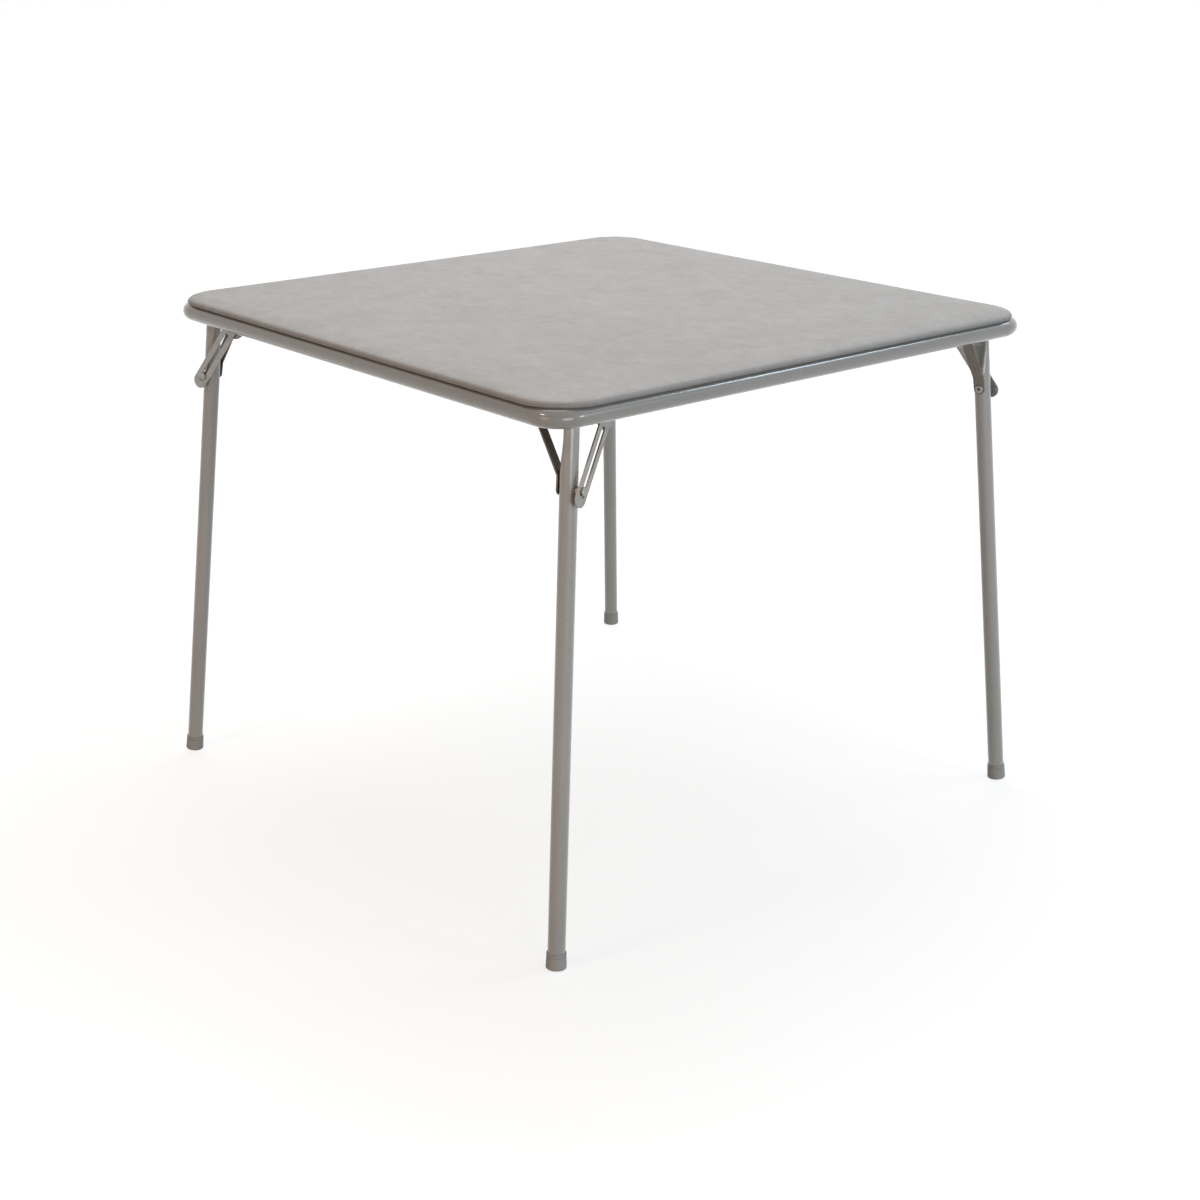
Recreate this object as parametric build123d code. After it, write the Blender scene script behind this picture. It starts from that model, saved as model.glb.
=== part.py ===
from build123d import *
from math import atan2, cos, degrees, hypot, radians, sin, sqrt
import os

# Folding card table with a square padded top on a bent tube frame.
# Millimetres, +Z up, origin on the floor under the middle of the top.
# Each corner has a leg that turns on a hinge rod, a bent strap that steadies it
# and a slotted link that locks it open. The corners repeat at quarter turns.

# Whole table
table_height = 704.85
frame_side = 850.9
corner_names = ("front_left", "front_right", "back_right", "back_left")
quarter_turn = 360 / len(corner_names)

# Fits shared by all pieces
running_clearance = 0.08
side_clearance = 0.3
cut_overrun = 5.0

# Frame tube, one length bent to a ring and joined over an inner sleeve
tube_radius = 12.0
tube_wall = 1.2
frame_bend_radius = 32.5
frame_seam_gap = 0.4
frame_seam_from_middle = 29.0
sleeve_length = 90.0
sleeve_wall = 1.2
sleeve_clearance = 0.05

# Padded top: board, foam and cover
cover_thickness = 0.8
board_thickness = 4.8
foam_thickness = 5.05
top_corner_radius = 64.0
cover_turn_under = 30.0
crown_width = 17.0
crown_drop = 7.2
lower_edge_round = 2.4
board_inset = 2.5

# Screws that hold the board down, seated inside the tube under its upper wall
screw_places_share = (-0.3, 0.3)
screw_shank_radius = 1.9
screw_head_radius = 4.0
screw_head_height = 2.2
screw_access_radius = 5.2
screw_grip_in_board = 3.4

# Hinge of a leg, measured at the front left corner
hinge_below_top = 30.85
hinge_inset_along = 59.5
hinge_inset_across = 38.6
hinge_yaw_degrees = 17.5
hinge_tilt_degrees = 2.2
leg_splay_degrees = 5.8

# Leg tube
leg_radius = 11.1
leg_wall = 1.2
leg_axis_offset = 4.0
leg_end_above_hinge = 8.0
flat_depth = 7.1
flat_corner_radius = 4.0
flat_length = 25.0
flat_run_out = 38.0
flat_edge_degrees = 60.0

# Foot cap
cap_radius = 13.0
cap_lip_radius = 12.4
cap_height = 21.0
cap_lip_height = 3.0
cap_groove_depth = 0.7
cap_groove_height = 1.4
cap_base_round = 2.6
cap_base_thickness = 4.0
cap_base_rise = 0.3

# Rivet that joins leg, strap, spacer and link
leg_rivet_drop = 84.0
leg_rivet_radius = 2.9
leg_rivet_head_radius = 5.6
leg_rivet_head_height = 2.3
leg_rivet_hollow_radius = 1.9
leg_rivet_hollow_depth = 7.0
spacer_radius = 5.4

# Bent strap
strap_width = 15.0
strap_thickness = 2.0
strap_flat_length = 16.0
strap_spread = 36.0
strap_tab_length = 12.0
strap_bend_radius = 7.0

# Slotted link
link_width = 21.5
link_thickness = 2.0
link_plane_offset = 19.0
link_end_beyond_rivet = 9.3
link_slot_clearance = 0.3
link_slot_web = 13.5
link_dish_radius = 6.2
link_dish_below_rivet = 1.8
link_dish_depth = 1.2
link_pivot_reach = 46.6
link_pivot_drop = 4.0

# Rivet that holds the link to the bracket
link_rivet_radius = 3.0
link_rivet_head_radius = 5.5
link_rivet_head_height = 2.0

# Hinge rod and its push nut
rod_radius = 3.0
rod_head_radius = 5.0
rod_head_height = 1.5
rod_end_beyond_nut = 2.0
nut_radius = 6.5
nut_thickness = 1.6

# Corner bracket, a pressed plate with four ears
bracket_thickness = 2.0
bracket_drop_from_frame_top = 1.3
bracket_arm_along = 134.0
bracket_arm_across = 107.0
bracket_arm_width = 32.0
bracket_edge_clearance = 0.02
ear_radius = 9.0
leg_ear_clearance = 0.6
link_ear_radius = 20.0
link_ear_root_width = 44.0

# Values worked out from the ones above
half_side = frame_side / 2
tube_axis_from_middle = half_side - tube_radius
top_thickness = 2 * cover_thickness + board_thickness + foam_thickness
frame_top = table_height - top_thickness
frame_axis_height = frame_top - tube_radius
hinge_height = table_height - hinge_below_top
board_bottom = frame_top + cover_thickness
board_top = board_bottom + board_thickness
yaw = radians(hinge_yaw_degrees)
tilt = radians(hinge_tilt_degrees)
splay = radians(leg_splay_degrees)
flat_face = leg_radius - flat_depth
leg_rivet_hole = leg_rivet_radius + running_clearance
rod_hole = rod_radius + running_clearance
link_slot_radius = leg_rivet_radius + link_slot_clearance
strap_inner = leg_radius
strap_tab_inner = strap_inner + strap_spread - strap_thickness - flat_face
bracket_top = frame_top - bracket_drop_from_frame_top
bracket_bottom = bracket_top - bracket_thickness

# The hinge frame has X along the fold, Y along the rod and Z up in the plane of the link.
hinge_x = (cos(yaw), sin(yaw), 0)
hinge_z = (-sin(yaw) * sin(tilt), cos(yaw) * sin(tilt), cos(tilt))
hinge_point = (-half_side + hinge_inset_along, -half_side + hinge_inset_across, hinge_height)
hinge_frame = Plane(origin=hinge_point, x_dir=hinge_x, z_dir=hinge_z).location
leg_frame = hinge_frame * Rot(0, leg_splay_degrees, 0)

# Rivet and link pivot in the hinge frame, and the link's own frame at the rivet
rivet_x = -leg_axis_offset * cos(splay) - leg_rivet_drop * sin(splay)
rivet_z = leg_axis_offset * sin(splay) - leg_rivet_drop * cos(splay)
link_run_x = link_pivot_reach - rivet_x
link_run_z = -link_pivot_drop - rivet_z
link_length = hypot(link_run_x, link_run_z)
link_angle_degrees = degrees(atan2(link_run_x, link_run_z))
link_frame = hinge_frame * Pos(rivet_x, -link_plane_offset, rivet_z) * Rot(0, link_angle_degrees, 0)
link_inner = link_plane_offset - link_thickness / 2
link_outer = link_plane_offset + link_thickness / 2


def at_corner(shape, turn):
    """The front left corner's shape, turned to another corner."""
    return Rot(0, 0, quarter_turn * turn) * shape


def round_bar(radius, start, end):
    """A round bar along Y from start to end."""
    middle = (start + end) / 2
    return Pos(0, middle, 0) * Rot(90, 0, 0) * Cylinder(radius, abs(end - start))


def plate_along_y(outline, start, end):
    """An outline drawn in X and Z, made solid along Y from start to end."""
    solid = extrude(Plane.XZ * outline, amount=-(end - start))
    return Pos(0, start, 0) * solid


def save(node, shape):
    """Writes one node's STEP file, with its solids in one compound if it has several."""
    solids = shape.solids()
    whole = solids[0] if len(solids) == 1 else Compound(children=list(solids))
    whole.label = node
    export_step(whole, os.path.join("parts", node + ".step"))


def frame_tube():
    """The bent ring, open by a hair at its seam on the left rail."""
    reach = tube_axis_from_middle
    seam_low = -frame_seam_from_middle - frame_seam_gap / 2
    seam_high = -frame_seam_from_middle + frame_seam_gap / 2
    corners = [
        (-reach, seam_high, frame_axis_height),
        (-reach, reach, frame_axis_height),
        (reach, reach, frame_axis_height),
        (reach, -reach, frame_axis_height),
        (-reach, -reach, frame_axis_height),
        (-reach, seam_low, frame_axis_height),
    ]
    path = FilletPolyline(*corners, radius=frame_bend_radius)
    start = Plane(origin=corners[0], z_dir=(0, 1, 0))
    ring = start * (Circle(tube_radius) - Circle(tube_radius - tube_wall))
    tube = sweep(ring, path=path)
    reach_out = tube_radius + cut_overrun
    shank_hole = Pos(0, 0, reach_out / 2) * Cylinder(screw_shank_radius + running_clearance, reach_out)
    access_hole = Pos(0, 0, -reach_out / 2) * Cylinder(screw_access_radius, reach_out)
    for spot in screw_spots():
        tube -= spot * Pos(0, 0, frame_axis_height) * (shank_hole + access_hole)
    return tube


def frame_sleeve():
    """The short tube inside the frame's seam."""
    outer = tube_radius - tube_wall - sleeve_clearance
    pipe = Cylinder(outer, sleeve_length) - Cylinder(outer - sleeve_wall, sleeve_length + cut_overrun)
    middle = Pos(-tube_axis_from_middle, -frame_seam_from_middle, frame_axis_height)
    return middle * Rot(90, 0, 0) * pipe


def screw_spots():
    """Places of the board screws, two on each rail, at the tube's middle."""
    spots = []
    for turn in range(len(corner_names)):
        for share in screw_places_share:
            spots.append(Rot(0, 0, quarter_turn * turn) * Pos(tube_axis_from_middle, share * frame_side, 0))
    return spots


def screw_seat_height():
    """Height of the heads' upper faces, just under the tube's upper wall inside it."""
    bore_radius = tube_radius - tube_wall
    return frame_axis_height + sqrt(bore_radius ** 2 - screw_head_radius ** 2) - running_clearance


def board_screws():
    """Pan head screws up through the tube's upper wall into the board, one solid each."""
    seat = screw_seat_height()
    tip = board_bottom + screw_grip_in_board
    shank_length = tip - seat
    shank = Pos(0, 0, seat + shank_length / 2) * Cylinder(screw_shank_radius, shank_length)
    head = Pos(0, 0, seat - screw_head_height / 2) * Cylinder(screw_head_radius, screw_head_height)
    rim = head.edges().sort_by(Axis.Z)[0]
    screw = shank + chamfer(rim, length=screw_head_height / 3)
    return Compound(children=[(spot * screw).solid() for spot in screw_spots()])


def screw_holes(bottom, top):
    """Cutters for the screw shanks between two heights."""
    height = top - bottom
    cutter = Pos(0, 0, bottom + height / 2) * Cylinder(screw_shank_radius, height)
    return [spot * cutter for spot in screw_spots()]


def crown_outline(inset):
    """Section of the padded rim in X and Z, from the corner centre outwards, drawn in by inset."""
    edge = top_corner_radius - inset
    crown_start = top_corner_radius - crown_width
    side_top = table_height - crown_drop
    top = table_height - inset
    bottom = frame_top + inset
    low_round = lower_edge_round - inset
    crown = EllipticalCenterArc(
        (crown_start, side_top), crown_width - inset, crown_drop - inset, arc_size=90
    )
    low_corner = CenterArc((edge - low_round, bottom + low_round), low_round, 270, 90)
    lines = [
        Line((0, bottom), (edge - low_round, bottom)),
        low_corner,
        Line((edge, bottom + low_round), (edge, side_top)),
        crown,
        Line((crown_start, top), (0, top)),
        Line((0, top), (0, bottom)),
    ]
    return make_face(lines)


def box_outline(start, end, bottom, top):
    """A rectangle in X and Z."""
    return Pos((start + end) / 2, (bottom + top) / 2) * Rectangle(end - start, top - bottom)


def around_top(outline, bottom, top):
    """Carries a rim section round the top's straight sides and corners, and fills the middle."""
    flat = half_side - top_corner_radius
    section = Plane.XZ * outline
    side = Pos(flat, 0, 0) * extrude(section, amount=flat, both=True)
    corner = Pos(flat, flat, 0) * revolve(section, axis=Axis.Z, revolution_arc=quarter_turn)
    middle = Pos(0, 0, (bottom + top) / 2) * Box(2 * flat, 2 * flat, top - bottom)
    whole = middle
    for turn in range(len(corner_names)):
        whole += Rot(0, 0, quarter_turn * turn) * side
        whole += Rot(0, 0, quarter_turn * turn) * corner
    return whole


def vinyl_cover():
    """The cover, wrapped over the rim and turned under the board."""
    lip_start = top_corner_radius - cover_turn_under
    section = crown_outline(0) - crown_outline(cover_thickness)
    section -= box_outline(-cut_overrun, lip_start, frame_top - cut_overrun, board_bottom)
    cover = around_top(section, table_height - cover_thickness, table_height)
    for hole in screw_holes(frame_top - cut_overrun, board_bottom + cut_overrun):
        cover -= hole
    return cover


def foam_pad():
    """The foam, thickest inside the crown and wrapped over the board's edge."""
    section = crown_outline(cover_thickness)
    board_edge = top_corner_radius - board_inset
    section -= box_outline(-cut_overrun, board_edge, board_bottom - cut_overrun, board_top)
    return around_top(section, board_top, table_height - cover_thickness)


def top_board():
    """The hardboard panel."""
    side = frame_side - 2 * board_inset
    outline = RectangleRounded(side, side, top_corner_radius - board_inset)
    board = Pos(0, 0, board_bottom) * extrude(outline, amount=board_thickness)
    for hole in screw_holes(board_bottom - cut_overrun, board_bottom + screw_grip_in_board):
        board -= hole
    return board


def flattened_section(inset):
    """The leg's section where one side is pressed flat, as a wire of four edges."""
    radius = leg_radius - inset
    corner = flat_corner_radius - inset
    face = flat_face - inset
    centre_x = sqrt((radius - corner) ** 2 - (face - corner) ** 2)
    grow = radius / (radius - corner)
    side = (centre_x * grow, (face - corner) * grow)
    mirror_side = (-side[0], side[1])
    knee = corner * sqrt(1 / 2)
    right_knee = (centre_x + knee, face - corner + knee)
    left_knee = (-right_knee[0], right_knee[1])
    return Wire([
        ThreePointArc(mirror_side, (0, -radius), side),
        ThreePointArc(side, right_knee, (centre_x, face)),
        Line((centre_x, face), (-centre_x, face)),
        ThreePointArc((-centre_x, face), left_knee, mirror_side),
    ])


def round_section(inset):
    """The leg's round section, as a wire of four edges that match the flattened one."""
    radius = leg_radius - inset
    corner = flat_corner_radius - inset
    face = flat_face - inset
    centre_x = sqrt((radius - corner) ** 2 - (face - corner) ** 2)
    side_angle = atan2(face - corner, centre_x)
    top_angle = radians(flat_edge_degrees)
    middle_angle = (side_angle + top_angle) / 2
    side = (radius * cos(side_angle), radius * sin(side_angle))
    knee = (radius * cos(middle_angle), radius * sin(middle_angle))
    top = (radius * cos(top_angle), radius * sin(top_angle))
    return Wire([
        ThreePointArc((-side[0], side[1]), (0, -radius), side),
        ThreePointArc(side, knee, top),
        ThreePointArc(top, (0, radius), (-top[0], top[1])),
        ThreePointArc((-top[0], top[1]), (-knee[0], knee[1]), (-side[0], side[1])),
    ])


def leg_drop_to(height):
    """Distance down the leg from the hinge to where its axis is at a height over the floor."""
    drop = (hinge_height - height) / cos(tilt)
    return (drop + leg_axis_offset * sin(splay)) / cos(splay)


def leg_core(inset, extra):
    """The leg's outer form drawn in by inset and longer by extra at both ends."""
    bottom = -leg_drop_to(cap_base_rise) + cap_base_thickness - extra
    flat_start = -flat_length
    round_end = flat_start - flat_run_out
    pressed = Face(flattened_section(inset))
    upper = Pos(0, 0, flat_start) * extrude(pressed, amount=flat_length + leg_end_above_hinge + extra)
    blend = loft(
        [Pos(0, 0, round_end) * Face(round_section(inset)), Pos(0, 0, flat_start) * pressed], ruled=True
    )
    lower_length = round_end - bottom
    lower = Pos(0, 0, bottom) * extrude(Face(round_section(inset)), amount=lower_length)
    return lower + blend + upper


def leg_tube():
    """The leg, with one side pressed flat at the hinge."""
    tube = leg_core(0, 0) - leg_core(leg_wall, cut_overrun)
    tube = Pos(-leg_axis_offset, 0, 0) * tube
    reach = leg_radius + cut_overrun
    tube -= round_bar(rod_hole, -reach, reach)
    rivet_place = Pos(-leg_axis_offset, 0, -leg_rivet_drop)
    tube -= rivet_place * round_bar(leg_rivet_hole, -reach, reach)
    return leg_frame * tube


def foot_cap():
    """The rubber cap, trimmed flat where it stands on the floor."""
    groove_top = cap_height - cap_lip_height
    groove_bottom = groove_top - cap_groove_height
    groove = cap_lip_radius - cap_groove_depth
    base_corner = CenterArc((cap_radius - cap_base_round, cap_base_round), cap_base_round, 270, 90)
    lines = [
        Line((0, 0), (cap_radius - cap_base_round, 0)),
        base_corner,
        Line((cap_radius, cap_base_round), (cap_lip_radius, groove_bottom)),
        Line((cap_lip_radius, groove_bottom), (groove, groove_bottom)),
        Line((groove, groove_bottom), (groove, groove_top)),
        Line((groove, groove_top), (cap_lip_radius, groove_top)),
        Line((cap_lip_radius, groove_top), (cap_lip_radius, cap_height)),
        Line((cap_lip_radius, cap_height), (leg_radius, cap_height)),
        Line((leg_radius, cap_height), (leg_radius, cap_base_thickness)),
        Line((leg_radius, cap_base_thickness), (0, cap_base_thickness)),
        Line((0, cap_base_thickness), (0, 0)),
    ]
    cap = revolve(Plane.XZ * make_face(lines), axis=Axis.Z)
    placed = leg_frame * Pos(-leg_axis_offset, 0, -leg_drop_to(cap_base_rise)) * cap
    under_floor = Pos(0, 0, -cap_radius / 2) * Box(2 * frame_side, 2 * frame_side, cap_radius)
    return placed - under_floor


def leg_strap():
    """The bent strap from the rivet, flat on the leg, out to its own tab on the hinge rod."""
    middle = strap_inner + strap_thickness / 2
    tab_middle = strap_tab_inner + strap_thickness / 2
    end_radius = strap_width / 2
    points = [
        (0, middle, -leg_rivet_drop - end_radius - cut_overrun),
        (0, middle, -leg_rivet_drop + strap_flat_length),
        (0, tab_middle, -strap_tab_length),
        (0, tab_middle, end_radius + cut_overrun),
    ]
    path = FilletPolyline(*points, radius=strap_bend_radius)
    blank_width = 2 * (strap_width + leg_axis_offset)
    start = Plane(origin=points[0], x_dir=(1, 0, 0), z_dir=(0, 0, 1))
    blank = sweep(start * Rectangle(blank_width, strap_thickness), path=path)
    run = hypot(leg_axis_offset, leg_rivet_drop)
    lean = degrees(atan2(leg_rivet_drop, leg_axis_offset))
    outline = SlotCenterToCenter(run, strap_width, rotation=lean)
    outline = Pos(-leg_axis_offset / 2, -leg_rivet_drop / 2) * outline
    strap = blank & plate_along_y(outline, 0, tab_middle + strap_thickness + cut_overrun)
    strap -= round_bar(rod_hole, 0, tab_middle + cut_overrun)
    rivet_place = Pos(-leg_axis_offset, 0, -leg_rivet_drop)
    strap -= rivet_place * round_bar(leg_rivet_hole, 0, tab_middle + cut_overrun)
    return leg_frame * strap


def leg_rivet():
    """The rivet through strap, leg, spacer and slot, hollow where it is rolled over."""
    strap_side = strap_inner + strap_thickness + side_clearance
    link_side = -link_outer - side_clearance
    shank = round_bar(leg_rivet_radius, link_side, strap_side)
    rolled = round_bar(leg_rivet_head_radius, strap_side, strap_side + leg_rivet_head_height / 2)
    flat_head = round_bar(leg_rivet_head_radius, link_side, link_side - leg_rivet_head_height)
    flat_rim = flat_head.edges().sort_by(Axis.Y)[0]
    flat_head = chamfer(flat_rim, length=leg_rivet_head_height / 3)
    rolled_rim = rolled.edges().filter_by(GeomType.CIRCLE).sort_by(Axis.Y)[-1]
    rolled = chamfer(rolled_rim, length=leg_rivet_head_height / 3)
    rivet = shank + rolled + flat_head
    rivet_end = strap_side + leg_rivet_head_height / 2
    rivet -= round_bar(leg_rivet_hollow_radius, rivet_end - leg_rivet_hollow_depth, rivet_end + cut_overrun)
    return leg_frame * Pos(-leg_axis_offset, 0, -leg_rivet_drop) * rivet


def rivet_spacer():
    """The tube that holds the link clear of the leg."""
    start = -leg_radius - side_clearance
    end = -link_inner + side_clearance
    spacer = round_bar(spacer_radius, start, end)
    spacer -= round_bar(leg_rivet_radius, start + cut_overrun, end - cut_overrun)
    return leg_frame * Pos(-leg_axis_offset, 0, -leg_rivet_drop) * spacer


def lock_link():
    """The flat link with one long slot, and a dish at its lower end for the rivet's head."""
    length = link_length + link_end_beyond_rivet
    middle = (link_length - link_end_beyond_rivet) / 2
    outline = Pos(0, middle) * SlotCenterToCenter(length, link_width, rotation=90)
    slot_end = link_length - link_rivet_radius - link_slot_web - link_slot_radius
    outline -= Pos(0, slot_end / 2) * SlotCenterToCenter(slot_end, 2 * link_slot_radius, rotation=90)
    outline -= Pos(0, link_length) * Circle(link_rivet_radius)
    plate = plate_along_y(outline, -link_thickness / 2, link_thickness / 2)
    dish_floor = -link_thickness / 2 + link_dish_depth
    dish = round_bar(link_dish_radius, -link_thickness / 2 - cut_overrun, dish_floor)
    return link_frame * (plate - Pos(0, 0, -link_dish_below_rivet) * dish)


def link_rivet():
    """The link's half of its pivot rivet, which rides on the link."""
    outer = -link_thickness / 2
    inner = link_thickness / 2 + side_clearance
    shank = round_bar(link_rivet_radius, outer, inner)
    head = round_bar(link_rivet_head_radius, outer, outer - link_rivet_head_height)
    rim = head.edges().sort_by(Axis.Y)[0]
    head = chamfer(rim, length=link_rivet_head_height / 2)
    return link_frame * Pos(0, 0, link_length) * (shank + head)


def link_ear_outer():
    """Distance of the link ear's outer face from the leg's axis."""
    return link_inner - 2 * side_clearance


def ear_rivet():
    """The bracket's half of the link's pivot rivet."""
    outer = -link_ear_outer()
    inner = outer + bracket_thickness
    shank = round_bar(link_rivet_radius, outer, inner)
    head = round_bar(link_rivet_head_radius, inner, inner + link_rivet_head_height)
    rim = head.edges().sort_by(Axis.Y)[-1]
    head = chamfer(rim, length=link_rivet_head_height / 2)
    return hinge_frame * Pos(link_pivot_reach, 0, -link_pivot_drop) * (shank + head)


def outer_ear_inner():
    """Distance of the outer ear's inner face from the leg's axis, just past the strap's tab."""
    return strap_tab_inner + strap_thickness + side_clearance


def hinge_rod():
    """The rod through the leg, both ears and the strap's tab."""
    start = -leg_radius - side_clearance
    end = outer_ear_inner() + bracket_thickness + nut_thickness + rod_end_beyond_nut
    rod = round_bar(rod_radius, start, end)
    head = round_bar(rod_head_radius, start, start - rod_head_height)
    rim = head.edges().sort_by(Axis.Y)[0]
    return hinge_frame * (rod + chamfer(rim, length=rod_head_height / 2))


def push_nut():
    """The dished spring nut pressed on the rod's end."""
    start = outer_ear_inner() + bracket_thickness
    nut = round_bar(nut_radius, start, start + nut_thickness)
    rim = nut.edges().sort_by(Axis.Y)[-1]
    nut = chamfer(rim, length=nut_thickness / 2)
    nut -= round_bar(rod_radius, start - cut_overrun, start + nut_thickness + cut_overrun)
    return hinge_frame * nut


def hanging_ear(place_x, place_z, radius, root_width, start, end):
    """An ear that hangs from the bracket's plate and ends round about its hole."""
    height = ear_root_height() - place_z
    root = [(-root_width / 2, height), (root_width / 2, height)]
    lean = atan2(root_width / 2 - radius, height)
    tangent_x = radius * cos(lean)
    tangent_z = -radius * sin(lean)
    sides = make_face(Polyline(
        root[0], root[1], (tangent_x, tangent_z), (-tangent_x, tangent_z), close=True
    ))
    outline = Pos(place_x, place_z) * (sides + Circle(radius))
    return plate_along_y(outline, start, end)


def ear_root_height():
    """Height over the hinge where the ears start, well above the plate so that all reach it."""
    return bracket_top + cut_overrun - hinge_height


def bracket_plate():
    """The flat plate of the bracket, fitted into the inside of the frame's bend."""
    depth = frame_axis_height - bracket_bottom
    half_chord = sqrt(tube_radius ** 2 - depth ** 2)
    edge = -tube_axis_from_middle + half_chord + bracket_edge_clearance
    corner_radius = frame_bend_radius - half_chord - bracket_edge_clearance
    along = -half_side + bracket_arm_along
    across = -half_side + bracket_arm_across
    outline = make_face(Polyline(
        (edge, edge), (along, edge), (along, edge + bracket_arm_width),
        (edge + bracket_arm_width + leg_axis_offset, across), (edge, across), close=True
    ))
    plate = Pos(0, 0, bracket_bottom) * extrude(outline, amount=bracket_thickness)
    bend = plate.edges().filter_by(Axis.Z).sort_by_distance((edge, edge, bracket_bottom))[0]
    return fillet(bend, radius=corner_radius)


def corner_bracket():
    """The pressed bracket: plate, two ears on the hinge rod and one for the link."""
    bracket = bracket_plate()
    leg_ear_start = flat_face + leg_ear_clearance
    leg_ear = hanging_ear(0, 0, ear_radius, 2 * ear_radius, leg_ear_start, leg_ear_start + bracket_thickness)
    outer_start = outer_ear_inner()
    outer_ear = hanging_ear(0, 0, ear_radius, 2 * ear_radius, outer_start, outer_start + bracket_thickness)
    link_start = -link_ear_outer()
    link_ear = hanging_ear(
        link_pivot_reach, -link_pivot_drop, link_ear_radius, link_ear_root_width,
        link_start, link_start + bracket_thickness
    )
    rod_reach = outer_start + bracket_thickness + cut_overrun
    rod_cut = round_bar(rod_radius, 0, rod_reach)
    rivet_cut = Pos(link_pivot_reach, 0, -link_pivot_drop) * round_bar(
        link_rivet_radius, link_start - cut_overrun, link_start + bracket_thickness + cut_overrun
    )
    ears = leg_ear + outer_ear + link_ear - rod_cut - rivet_cut
    above_plate = Pos(0, 0, bracket_top + frame_bend_radius / 2) * Box(
        2 * frame_side, 2 * frame_side, frame_bend_radius
    )
    return bracket + (hinge_frame * ears - above_plate)


def build():
    """Makes every piece and writes its file."""
    os.makedirs("parts", exist_ok=True)
    save("frame_tube", frame_tube())
    save("frame_sleeve", frame_sleeve())
    save("top_board", top_board())
    save("foam_pad", foam_pad())
    save("vinyl_cover", vinyl_cover())
    save("board_screws", board_screws())
    corner_pieces = {
        "corner_bracket": corner_bracket(),
        "leg_tube": leg_tube(),
        "foot_cap": foot_cap(),
        "leg_strap": leg_strap(),
        "leg_rivet": leg_rivet(),
        "rivet_spacer": rivet_spacer(),
        "lock_link": lock_link(),
        "link_rivet": link_rivet(),
        "ear_rivet": ear_rivet(),
        "hinge_rod": hinge_rod(),
        "push_nut": push_nut(),
    }
    for turn, corner in enumerate(corner_names):
        for piece, shape in corner_pieces.items():
            save(piece + "_" + corner, at_corner(shape, turn))


build()
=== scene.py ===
import math

import bpy
from mathutils import Matrix, Vector, noise


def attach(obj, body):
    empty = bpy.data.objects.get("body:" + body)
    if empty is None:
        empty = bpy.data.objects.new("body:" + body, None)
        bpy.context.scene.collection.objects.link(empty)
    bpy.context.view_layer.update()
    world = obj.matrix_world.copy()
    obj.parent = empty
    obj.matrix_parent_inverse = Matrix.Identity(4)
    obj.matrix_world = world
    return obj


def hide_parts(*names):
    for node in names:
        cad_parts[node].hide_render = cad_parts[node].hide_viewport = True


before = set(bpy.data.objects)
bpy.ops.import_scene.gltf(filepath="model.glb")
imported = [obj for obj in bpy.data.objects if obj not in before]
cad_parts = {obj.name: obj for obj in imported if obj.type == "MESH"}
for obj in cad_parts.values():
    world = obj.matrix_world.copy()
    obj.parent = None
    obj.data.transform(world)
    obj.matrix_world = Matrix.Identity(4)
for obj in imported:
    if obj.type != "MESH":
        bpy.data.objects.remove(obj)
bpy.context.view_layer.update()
scene = bpy.context.scene
corners = ("front_left", "front_right", "back_right", "back_left")


def linear(value):
    """A display value of 0 to 255 as linear light."""
    value = value / 255
    return value / 12.92 if value <= 0.04045 else ((value + 0.055) / 1.055) ** 2.4


def colour(r, g, b):
    """Display values as a colour for a socket."""
    return (linear(r), linear(g), linear(b), 1.0)


def shifted(tone, by):
    """The colour of a tone made lighter or darker by some display values."""
    return colour(*(value + by for value in tone))


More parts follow.
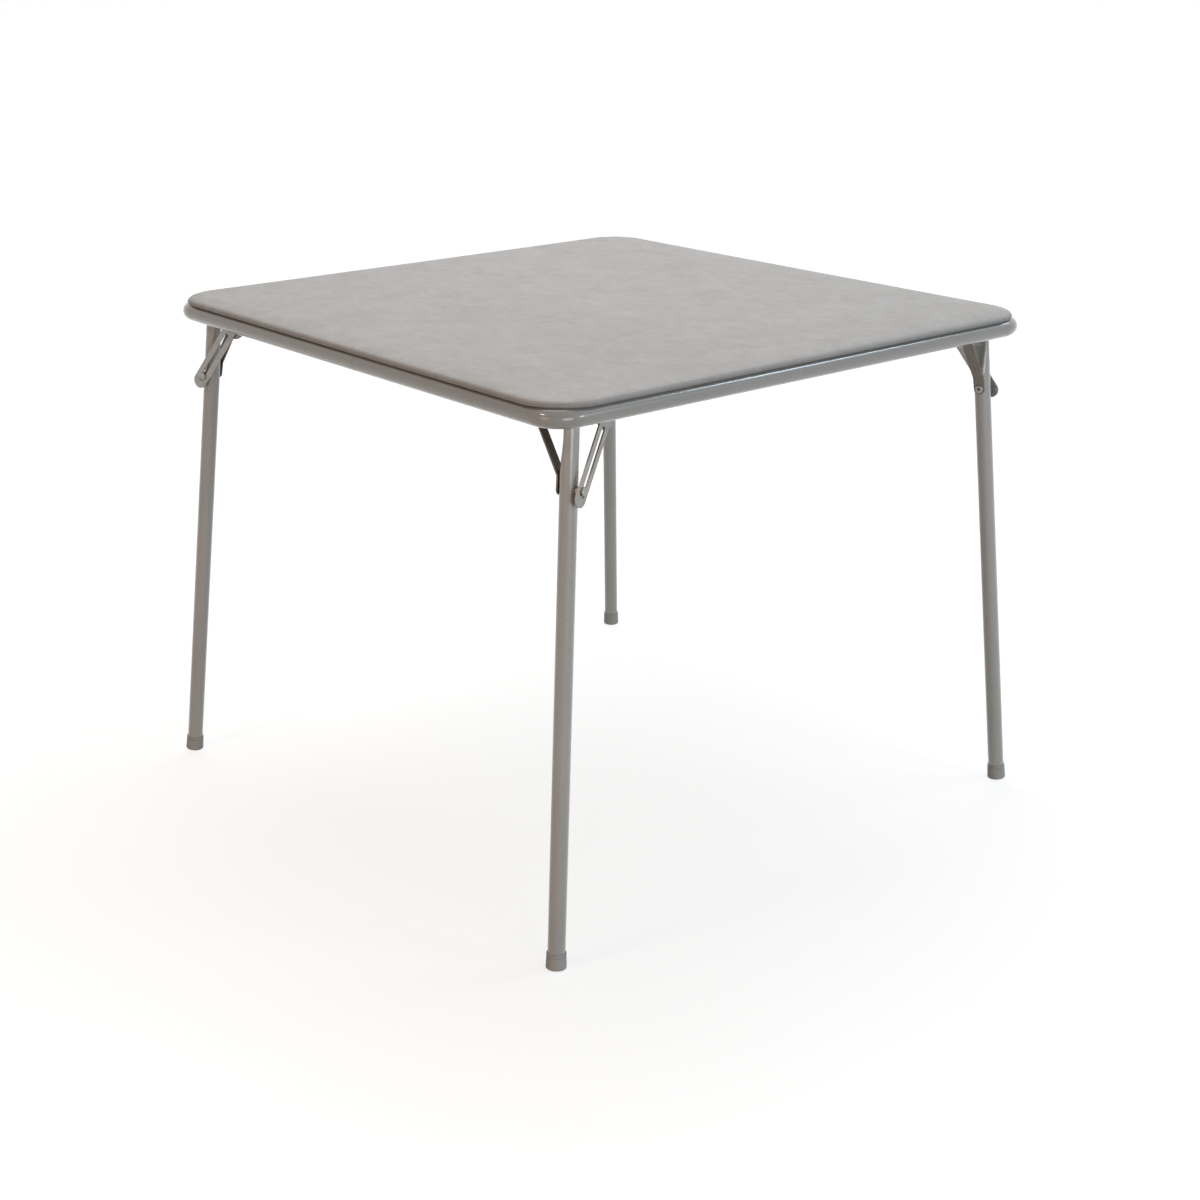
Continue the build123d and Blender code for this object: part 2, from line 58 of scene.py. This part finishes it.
class Nodes:
    """Short calls for building a node material."""

    # Places of the colour sockets on a mix node
    mix_share, mix_first, mix_second, mix_result = 0, 6, 7, 2

    def __init__(self, name):
        self.material = bpy.data.materials.new(name)
        self.material.use_nodes = True
        self.tree = self.material.node_tree
        self.tree.nodes.clear()
        self.out = self.tree.nodes.new("ShaderNodeOutputMaterial")
        self.shader = self.tree.nodes.new("ShaderNodeBsdfPrincipled")
        self.tree.links.new(self.shader.outputs[0], self.out.inputs[0])
        self.place = self.tree.nodes.new("ShaderNodeTexCoord").outputs["Object"]

    def link(self, a, b):
        self.tree.links.new(a, b)

    def set(self, **values):
        for key, value in values.items():
            self.shader.inputs[key.replace("_", " ")].default_value = value

    def stretched(self, scale):
        node = self.tree.nodes.new("ShaderNodeMapping")
        node.inputs["Scale"].default_value = scale
        self.link(self.place, node.inputs["Vector"])
        return node.outputs[0]

    def noise(self, scale, detail, rough=0.55, stretch=None, distortion=0.0):
        node = self.tree.nodes.new("ShaderNodeTexNoise")
        node.inputs["Scale"].default_value = scale
        node.inputs["Detail"].default_value = detail
        node.inputs["Roughness"].default_value = rough
        node.inputs["Distortion"].default_value = distortion
        self.link(self.stretched(stretch) if stretch else self.place, node.inputs["Vector"])
        return node.outputs["Fac"]

    def cells(self, scale, stretch=None):
        node = self.tree.nodes.new("ShaderNodeTexVoronoi")
        node.inputs["Scale"].default_value = scale
        self.link(self.stretched(stretch) if stretch else self.place, node.inputs["Vector"])
        return node.outputs["Distance"]

    def by_height(self, low, high, at_low, at_high):
        """A value that goes from at_low to at_high between two heights of the object."""
        split = self.tree.nodes.new("ShaderNodeSeparateXYZ")
        self.link(self.place, split.inputs[0])
        node = self.tree.nodes.new("ShaderNodeMapRange")
        node.inputs["From Min"].default_value = low
        node.inputs["From Max"].default_value = high
        node.inputs["To Min"].default_value = at_low
        node.inputs["To Max"].default_value = at_high
        self.link(split.outputs["Z"], node.inputs["Value"])
        return node.outputs[0]

    def ramp(self, value, stops):
        node = self.tree.nodes.new("ShaderNodeValToRGB")
        ramp = node.color_ramp
        while len(ramp.elements) < len(stops):
            ramp.elements.new(0.5)
        for element, (place, shade) in zip(ramp.elements, stops):
            element.position = place
            element.color = shade if isinstance(shade, tuple) else (shade, shade, shade, 1.0)
        self.link(value, node.inputs[0])
        return node.outputs[0]

    def product(self, first, *others):
        """The colours or values multiplied together."""
        for other in others:
            node = self.tree.nodes.new("ShaderNodeMix")
            node.data_type = "RGBA"
            node.blend_type = "MULTIPLY"
            node.inputs[self.mix_share].default_value = 1.0
            self.link(first, node.inputs[self.mix_first])
            self.link(other, node.inputs[self.mix_second])
            first = node.outputs[self.mix_result]
        return first

    def bump(self, height, distance, strength, under=None):
        node = self.tree.nodes.new("ShaderNodeBump")
        node.inputs["Strength"].default_value = strength
        node.inputs["Distance"].default_value = distance
        self.link(height, node.inputs["Height"])
        if under is not None:
            self.link(under, node.inputs["Normal"])
        return node.outputs[0]


def enamel(name, tone):
    """Grey enamel with fine orange peel, faint clouds, dust specks and small rubbed marks."""
    n = Nodes(name)
    tint = n.ramp(n.noise(9.0, 4.0), [(0.3, shifted(tone, -4)), (0.7, shifted(tone, 4))])
    speck = n.ramp(n.noise(900.0, 2.0), [(0.3, 0.9), (0.42, 1.0)])
    rubbed = n.ramp(n.noise(34.0, 6.0, 0.7, stretch=(1.0, 1.0, 0.35)), [(0.63, 1.0), (0.7, 0.94)])
    n.link(n.product(tint, speck, rubbed), n.shader.inputs["Base Color"])
    n.link(n.ramp(n.noise(60.0, 3.0), [(0.3, 0.27), (0.7, 0.36)]), n.shader.inputs["Roughness"])
    peel = n.bump(n.noise(420.0, 2.0), 0.0001, 0.35)
    n.link(n.bump(n.noise(45.0, 2.0), 0.0002, 0.25, peel), n.shader.inputs["Normal"])
    n.set(Coat_Weight=0.9, Coat_Roughness=0.09)
    return n.material


def pad_vinyl():
    """Suede-look vinyl: cloudy mottling, short brush marks, a fine grain and painted shade darkening the
    lower rim of the pad.
    """
    n = Nodes("pad_vinyl")
    mottle = n.noise(22.0, 6.0, 0.66, distortion=0.7)
    cloud = n.ramp(mottle, [(0.3, colour(177, 175, 173)), (0.7, colour(192, 191, 191))])
    patch = n.ramp(n.noise(5.0, 3.0, 0.5), [(0.3, 0.97), (0.7, 1.03)])
    brushed = n.noise(120.0, 4.0, 0.65, stretch=(1.0, 0.45, 1.0))
    streak = n.ramp(brushed, [(0.25, 0.91), (0.55, 1.0), (0.8, 1.05)])
    grain = n.ramp(n.noise(620.0, 3.0, 0.75), [(0.3, 0.9), (0.6, 1.04)])
    # Painted shade: the rim of the pad is darker below the crown, where its side turns away from the
    # light.
    painted_rim_shade = n.by_height(rim_shade_from, rim_shade_to, rim_shade_share, 1.0)
    n.link(n.product(cloud, patch, streak, grain, painted_rim_shade), n.shader.inputs["Base Color"])
    n.link(n.ramp(n.noise(90.0, 3.0), [(0.3, 0.44), (0.7, 0.58)]), n.shader.inputs["Roughness"])
    fine = n.bump(n.noise(1500.0, 2.0), 0.0001, 0.35)
    leather = n.bump(n.cells(520.0, stretch=(1.0, 0.8, 1.0)), 0.00018, 0.3, fine)
    swelling = n.noise(70.0, 4.0, distortion=0.8)
    n.link(n.bump(swelling, 0.0005, 0.25, leather), n.shader.inputs["Normal"])
    n.set(Sheen_Weight=0.1, Sheen_Roughness=0.5, Specular_IOR_Level=0.4)
    return n.material


def plated(name, tone, rough, metallic, stretch=(1.0, 1.0, 1.0)):
    """Plated steel with rolled streaks, small spangles and dull spots."""
    n = Nodes(name)
    tint = n.ramp(n.noise(55.0, 4.0), [(0.3, shifted(tone, -9)), (0.7, shifted(tone, 7))])
    spangle = n.ramp(n.cells(260.0), [(0.1, 0.93), (0.7, 1.04)])
    grit = n.ramp(n.noise(1100.0, 2.0), [(0.35, 0.86), (0.6, 1.05)])
    n.link(n.product(tint, spangle, grit), n.shader.inputs["Base Color"])
    dull = n.noise(150.0, 4.0, stretch=stretch)
    n.link(n.ramp(dull, [(0.3, rough - 0.08), (0.7, rough + 0.12)]), n.shader.inputs["Roughness"])
    n.link(n.bump(n.noise(700.0, 3.0, stretch=stretch), 0.0001, 0.4), n.shader.inputs["Normal"])
    n.set(Metallic=metallic)
    return n.material


def foot_rubber():
    """Grey moulded caps with a dull bloom, a fine grain and scuffs near the floor."""
    n = Nodes("foot_rubber")
    tint = n.ramp(n.noise(70.0, 4.0), [(0.3, colour(179, 178, 176)), (0.7, colour(189, 188, 186))])
    dust = n.ramp(n.noise(600.0, 2.0), [(0.35, 0.92), (0.65, 1.03)])
    scuff = n.ramp(n.noise(160.0, 5.0, 0.7, stretch=(1.0, 1.0, 2.5)), [(0.6, 1.0), (0.72, 0.86)])
    n.link(n.product(tint, dust, scuff), n.shader.inputs["Base Color"])
    n.link(n.ramp(n.noise(110.0, 3.0), [(0.3, 0.5), (0.7, 0.66)]), n.shader.inputs["Roughness"])
    n.link(n.bump(n.noise(500.0, 3.0), 0.00015, 0.5), n.shader.inputs["Normal"])
    return n.material


def hardboard():
    """Brown pressed board with short fibres and the screen marks of its rough face."""
    n = Nodes("hardboard")
    fibre = n.noise(240.0, 5.0, 0.7, stretch=(1.0, 0.3, 1.0), distortion=1.2)
    browns = [(0.25, colour(96, 70, 49)), (0.55, colour(124, 93, 66)), (0.8, colour(141, 109, 80))]
    tint = n.ramp(fibre, browns)
    blotch = n.ramp(n.noise(7.0, 3.0), [(0.3, 0.9), (0.7, 1.06)])
    n.link(n.product(tint, blotch), n.shader.inputs["Base Color"])
    n.link(n.bump(n.cells(700.0), 0.0003, 0.4, n.bump(fibre, 0.0002, 0.5)), n.shader.inputs["Normal"])
    n.set(Roughness=0.75)
    return n.material


# Tones are display values. Painted shade on the pad's rim: the vinyl darkens between two heights in
# metres, down to a share of its tone.
rolled = (1.0, 1.0, 6.0)
rim_shade_from, rim_shade_to, rim_shade_share = 0.6955, 0.7025, 0.66

# One enamel in two tones: darker on the frame and brackets as painted shade, lighter on the legs as
# painted light.
frame_paint = enamel("frame_paint", (150, 148, 145))
leg_paint_lit = enamel("leg_paint_lit", (176, 175, 172))
vinyl = pad_vinyl()
strip_steel = plated("strip_steel", (164, 162, 159), 0.4, 0.6, rolled)
# Painted shade and painted reflection: the straps' steel is darker and browner than the links' to stand
# in for the shade under the top and the brown board it reflects.
strap_steel_painted_shade = plated("strap_steel_painted_shade", (114, 107, 100), 0.38, 0.6, rolled)
rivet_steel = plated("rivet_steel", (172, 169, 165), 0.34, 0.45)
bright_zinc = plated("bright_zinc", (196, 193, 190), 0.24, 0.9)
spacer_steel = plated("spacer_steel", (158, 138, 124), 0.4, 0.5)
rubber = foot_rubber()
board = hardboard()

finishes = {
    "frame_tube": frame_paint,
    "frame_sleeve": strip_steel,
    "top_board": board,
    "foam_pad": vinyl,
    "vinyl_cover": vinyl,
    "board_screws": bright_zinc,
    "corner_bracket": frame_paint,
    "leg_tube": leg_paint_lit,
    "foot_cap": rubber,
    "leg_strap": strap_steel_painted_shade,
    "leg_rivet": rivet_steel,
    "rivet_spacer": spacer_steel,
    "lock_link": strip_steel,
    "link_rivet": rivet_steel,
    "ear_rivet": bright_zinc,
    "hinge_rod": bright_zinc,
    "push_nut": bright_zinc,
}


def finish_of(node):
    """The material of a node, found by the start of its name."""
    for start, material in finishes.items():
        if node.startswith(start):
            return material
    raise ValueError(node)


for node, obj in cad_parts.items():
    obj.data.materials.clear()
    obj.data.materials.append(finish_of(node))


# The edges of the pressed plates are rolled over slightly.
edge_width = 0.00035
edge_angle = math.radians(40)
for start in ("lock_link", "leg_strap", "corner_bracket"):
    for corner in corners:
        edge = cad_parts[f"{start}_{corner}"].modifiers.new("edge", "BEVEL")
        edge.width = edge_width
        edge.segments = 2
        edge.limit_method = "ANGLE"
        edge.angle_limit = edge_angle
        edge.harden_normals = True


# The padded top, in metres: rings of a rounded square from the middle of the top, over the rim and
# under it, back over the board inside.
half_side = 0.42545
corner_radius = 0.064
top_height = 0.70485
crown_width = 0.0175
crown_drop = 0.0088
crown_power = 1.7
lower_round = 0.0024
turn_under = 0.03
pad_bottom = 0.6934
board_bottom = 0.6942
board_top = 0.6990
board_inset = 0.0025
skin_gap = 0.00015

# Rings: points on a side, and insets of the flat parts
side_steps = 96
crown_steps = 12
lower_steps = 4
inner_inset = 0.09
top_insets = (inner_inset, 0.074, 0.06, 0.048, 0.038, 0.030, 0.024, 0.0195)
under_insets = (0.006, 0.012, 0.021, turn_under - skin_gap)
fold_step = 0.001
under_board_inset = 0.012
over_board_insets = (0.008, 0.04, inner_inset)

# The cover is held up to free_from and is loose from free_over above it. It moves by swell at most.
free_from = 0.6998
free_over = 0.004
swell = 0.0011
cloth_frames = 20
loosest_hold = 0.02

# Unevenness of the foam: waves in a metre, layer of the noise, height
foam_waves = ((9, 3.7, 0.00022), (28, 9.1, 0.00008))


def ring(inset, height):
    """One closed ring of the rounded square, the same number of points at any inset."""
    half = half_side - inset
    radius = max(corner_radius - inset, 0.0)
    flat = half - radius
    length = 2 * flat + radius * math.pi / 2
    points = []
    for side in range(4):
        turn = Matrix.Rotation(math.radians(-90 * side), 3, "Z")
        for step in range(side_steps):
            along = (step / side_steps - 0.5) * length
            over = abs(along) - flat
            if over <= 0:
                place = Vector((along, half, height))
            else:
                angle = over / radius
                x = flat + radius * math.sin(angle)
                place = Vector((math.copysign(x, along), flat + radius * math.cos(angle), height))
            points.append(turn @ place)
    return points


def crown(inset):
    """Height of the pad's top at a distance in from its edge."""
    if inset >= crown_width:
        return top_height
    share = 1 - inset / crown_width
    return top_height - crown_drop + crown_drop * (1 - share ** crown_power) ** (1 / crown_power)


def pad_outline():
    """Inset and height of each ring: over the top, down the side, under the edge and round the board."""
    outline = [(inset, top_height) for inset in top_insets]
    for step in range(1, crown_steps + 1):
        inset = crown_width * (1 - math.sin(math.radians(90 * step / crown_steps)))
        outline.append((inset, crown(inset)))
    low_centre = pad_bottom + lower_round
    for step in range(lower_steps + 1):
        angle = math.radians(90 * step / lower_steps)
        inset = lower_round * (1 - math.cos(angle))
        outline.append((inset, low_centre - lower_round * math.sin(angle)))
    outline += [(inset, pad_bottom) for inset in under_insets]
    below, above = board_bottom - skin_gap, board_top + skin_gap
    inside = board_inset - skin_gap
    outline += [(turn_under, below - skin_gap), (turn_under - fold_step, below)]
    outline += [(under_board_inset, below), (inside, below), (inside, above)]
    outline += [(inset, above) for inset in over_board_insets]
    return outline


def fill(points, faces, first, height, flip):
    """Fills a square ring, whose points start at first, with a grid."""
    half = half_side - inner_inset

    def place(value):
        return round((value + half) / (2 * half) * side_steps)

    ring_points = range(first, first + 4 * side_steps)
    index = {(place(points[k].x), place(points[k].y)): k for k in ring_points}
    for i in range(side_steps + 1):
        for j in range(side_steps + 1):
            if (i, j) not in index:
                index[(i, j)] = len(points)
                x, y = (-half + 2 * half * step / side_steps for step in (i, j))
                points.append(Vector((x, y, height)))
    for i in range(side_steps):
        for j in range(side_steps):
            quad = (index[(i, j)], index[(i + 1, j)], index[(i + 1, j + 1)], index[(i, j + 1)])
            faces.append(quad[::-1] if flip else quad)


def pad_mesh():
    """The rings joined by faces, with a grid over the middle of the top and one under it."""
    outline = pad_outline()
    rings = [ring(inset, height) for inset, height in outline]
    count = len(rings[0])
    points = [p for r in rings for p in r]
    faces = []
    for r in range(len(rings) - 1):
        for k in range(count):
            a, b = r * count + k, r * count + (k + 1) % count
            faces.append((a, b, b + count, a + count))
    fill(points, faces, 0, top_height, False)
    fill(points, faces, (len(rings) - 1) * count, outline[-1][1], True)
    mesh = bpy.data.meshes.new("pad_top")
    mesh.from_pydata(points, [], faces)
    mesh.validate()
    return mesh


def inset_of(point):
    """Distance in from the pad's edge, seen from above."""
    flat = half_side - corner_radius
    x, y = abs(point.x) - flat, abs(point.y) - flat
    if x > 0 and y > 0:
        return corner_radius - math.hypot(x, y)
    return half_side - max(abs(point.x), abs(point.y))


def looseness(point):
    """How free the cover is at a point: 0 under the edge and round the board, 1 on the top."""
    if point.z < board_top + 2 * skin_gap and inset_of(point) > board_inset - 2 * skin_gap:
        return 0.0
    return min(max((point.z - free_from) / free_over, 0.0), 1.0)


def evaluated(obj):
    """The object with its modifiers applied."""
    return obj.evaluated_get(bpy.context.evaluated_depsgraph_get())


def simulate(pad):
    """Lowers the cover a little, lets cloth pressure lift it over the foam, and caps how far it goes."""
    free = [looseness(vertex.co) for vertex in pad.data.vertices]
    for vertex, share in zip(pad.data.vertices, free):
        vertex.co.z -= swell * share
    start = [vertex.co.copy() for vertex in pad.data.vertices]
    held = pad.vertex_groups.new(name="held")
    for index, share in enumerate(free):
        held.add([index], 1.0 - (1.0 - loosest_hold) * share, "REPLACE")
    cloth = pad.modifiers.new("cloth", "CLOTH")
    settings = cloth.settings
    settings.quality = 4
    settings.mass = 0.3
    settings.tension_stiffness = 12
    settings.compression_stiffness = 12
    settings.shear_stiffness = 5
    settings.bending_stiffness = 0.6
    settings.vertex_group_mass = held.name
    settings.use_pressure = True
    settings.uniform_pressure_force = 4.0
    settings.effector_weights.gravity = 0.0
    cloth.collision_settings.use_collision = False
    cloth.point_cache.frame_start = 1
    cloth.point_cache.frame_end = cloth_frames
    for step in range(1, cloth_frames + 1):
        scene.frame_set(step)
    moved = evaluated(pad)
    lifted = [vertex.co.copy() for vertex in moved.to_mesh().vertices]
    moved.to_mesh_clear()
    pad.modifiers.remove(cloth)
    pad.vertex_groups.clear()
    scene.frame_set(1)
    print("cloth moved up to", max((b - a).length for a, b in zip(start, lifted)))
    for vertex, before, after in zip(pad.data.vertices, start, lifted):
        move = after - before
        reach = move.length
        if reach > 0:
            move *= swell * math.tanh(reach / swell) / reach
        vertex.co = before + move


def soften(pad):
    """One subdivision, then the slight unevenness of foam under a stretched cover."""
    divide = pad.modifiers.new("divide", "SUBSURF")
    divide.levels = divide.render_levels = 1
    shape = bpy.data.meshes.new_from_object(evaluated(pad))
    pad.modifiers.clear()
    pad.data = shape
    shape.name = "pad_top"
    for vertex in shape.vertices:
        share = looseness(vertex.co)
        if share > 0:
            x, y, _ = vertex.co
            for waves, layer, height in foam_waves:
                vertex.co.z += noise.noise(Vector((x * waves, y * waves, layer))) * height * share
    for polygon in shape.polygons:
        polygon.use_smooth = True


def make_pad():
    """The pad as one object."""
    mesh = pad_mesh()
    pad = bpy.data.objects.new("pad_top", mesh)
    scene.collection.objects.link(pad)
    mesh.materials.append(vinyl)
    simulate(pad)
    soften(pad)
    return pad


pad = make_pad()
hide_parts("vinyl_cover", "foam_pad")
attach(pad, "frame")


def light_path(tree, background_shader, other_shader):
    """Shows one shader to the camera, to mirrors and through glass, and the other to everything else."""
    path = tree.nodes.new("ShaderNodeLightPath")
    seen_ray = path.outputs["Is Camera Ray"]
    for kind in ("Is Glossy Ray", "Is Transmission Ray"):
        either = tree.nodes.new("ShaderNodeMath")
        either.operation = "MAXIMUM"
        tree.links.new(seen_ray, either.inputs[0])
        tree.links.new(path.outputs[kind], either.inputs[1])
        seen_ray = either.outputs[0]
    mix = tree.nodes.new("ShaderNodeMixShader")
    tree.links.new(seen_ray, mix.inputs[0])
    tree.links.new(other_shader, mix.inputs[1])
    tree.links.new(background_shader, mix.inputs[2])
    return mix.outputs[0]


def emptied_tree(owner):
    """The node tree of a world or material, without its first nodes."""
    owner.use_nodes = True
    owner.node_tree.nodes.clear()
    return owner.node_tree


def plain_shader(tree, kind, shade, strength=None):
    """A shader node of one colour, and of one strength where it has one."""
    node = tree.nodes.new(kind)
    node.inputs["Color"].default_value = (*shade, 1.0)
    if strength is not None:
        node.inputs["Strength"].default_value = strength
    return node


# The world is white where it is seen and gives little light.
white = (1.0, 1.0, 1.0)
world = bpy.data.worlds.new("studio")
scene.world = world
tree = emptied_tree(world)
seen = plain_shader(tree, "ShaderNodeBackground", white, 1.0)
faint = plain_shader(tree, "ShaderNodeBackground", white, 0.03)
world_out = tree.nodes.new("ShaderNodeOutputWorld")
tree.links.new(light_path(tree, seen.outputs[0], faint.outputs[0]), world_out.inputs[0])

# The floor is seen nearly white under the table and white farther out, and keeps the shadow.
floor_reach = 20
glow_near, glow_far = 0.8, 1.0
near_distance, far_distance = 0.8, 4.0
floor_mesh = bpy.data.meshes.new("floor")
floor_corners = [(x * floor_reach, y * floor_reach, 0) for x, y in ((-1, -1), (1, -1), (1, 1), (-1, 1))]
floor_mesh.from_pydata(floor_corners, [], [(0, 1, 2, 3)])
floor = bpy.data.objects.new("floor", floor_mesh)
scene.collection.objects.link(floor)
floor_material = bpy.data.materials.new("floor")
floor_mesh.materials.append(floor_material)
tree = emptied_tree(floor_material)
plain = plain_shader(tree, "ShaderNodeBsdfDiffuse", (0.5, 0.485, 0.465))
lit = plain_shader(tree, "ShaderNodeBsdfDiffuse", (0.4, 0.4, 0.4))
glow = plain_shader(tree, "ShaderNodeEmission", white)
spot = tree.nodes.new("ShaderNodeTexCoord")
distance = tree.nodes.new("ShaderNodeVectorMath")
distance.operation = "LENGTH"
tree.links.new(spot.outputs["Object"], distance.inputs[0])
spread = tree.nodes.new("ShaderNodeMapRange")
spread.inputs["From Min"].default_value = near_distance
spread.inputs["From Max"].default_value = far_distance
spread.inputs["To Min"].default_value = glow_near
spread.inputs["To Max"].default_value = glow_far
tree.links.new(distance.outputs["Value"], spread.inputs["Value"])
tree.links.new(spread.outputs[0], glow.inputs["Strength"])
shown = tree.nodes.new("ShaderNodeAddShader")
tree.links.new(lit.outputs[0], shown.inputs[0])
tree.links.new(glow.outputs[0], shown.inputs[1])
floor_out = tree.nodes.new("ShaderNodeOutputMaterial")
tree.links.new(light_path(tree, shown.outputs[0], plain.outputs[0]), floor_out.inputs[0])


def area_light(name, place, target, size, power, tint):
    """A rectangular lamp that faces its target and isn't seen itself."""
    lamp = bpy.data.lights.new(name, "AREA")
    lamp.shape = "RECTANGLE"
    lamp.size, lamp.size_y = size
    lamp.energy = power
    lamp.color = tint
    obj = bpy.data.objects.new(name, lamp)
    scene.collection.objects.link(obj)
    obj.location = place
    obj.rotation_mode = "QUATERNION"
    obj.rotation_quaternion = (Vector(target) - Vector(place)).to_track_quat("-Z", "Y")
    obj.visible_camera = False


# Name, place, target, width and height, watts, colour in linear light
lamps = (
    ("overhead", (0.8, 1.0, 3.3), (0.0, 0.0, 0.6), (2.4, 2.4), 58, (1.0, 0.99, 0.98)),
    ("right_key", (2.6, -1.5, 2.75), (0.1, -0.2, 0.6), (1.4, 0.45), 21, (0.7, 0.87, 1.0)),
    ("front_cool", (1.2, -3.0, 1.35), (-0.3, -0.3, 0.6), (0.8, 0.5), 15, (0.85, 0.94, 1.0)),
    ("left_back", (-2.9, 0.1, 3.0), (-0.3, -0.2, 0.6), (0.6, 0.34), 17, (1.0, 0.74, 0.52)),
    ("left_warm", (-3.4, -0.8, 1.0), (0.0, 0.0, 0.4), (1.2, 1.0), 11, (1.0, 0.62, 0.38)),
    ("camera_side", (-1.2, -3.7, 0.9), (0.0, 0.0, 0.1), (1.8, 1.2), 27, (0.98, 1.0, 1.0)),
)
for lamp in lamps:
    area_light(*lamp)

# The camera stands where a fit to the photograph puts it. Yaw turns it from +Y toward +X.
camera_place = Vector((-1.7710, -2.0357, 1.2290))
yaw, pitch, roll = math.radians(39.70), math.radians(-19.745), math.radians(0.054)
focal_pixels = 1948.3
picture_width = 1200
centre_x = 548
sensor_width = 36
ahead = Vector((math.sin(yaw) * math.cos(pitch), math.cos(yaw) * math.cos(pitch), math.sin(pitch)))
level = Vector((math.cos(yaw), -math.sin(yaw), 0))
upright = level.cross(ahead)
right = level * math.cos(roll) + upright * math.sin(roll)
up = upright * math.cos(roll) - level * math.sin(roll)
camera_data = bpy.data.cameras.new("camera")
camera_data.sensor_width = sensor_width
camera_data.lens = sensor_width * focal_pixels / picture_width
camera_data.shift_x = (picture_width / 2 - centre_x) / picture_width
camera_data.clip_start = 0.05
camera_data.clip_end = 60
camera = bpy.data.objects.new("camera", camera_data)
scene.collection.objects.link(camera)
facing = Matrix((right, up, -ahead)).transposed()
camera.matrix_world = Matrix.Translation(camera_place) @ facing.to_4x4()
scene.camera = camera
scene.view_settings.view_transform = "Standard"
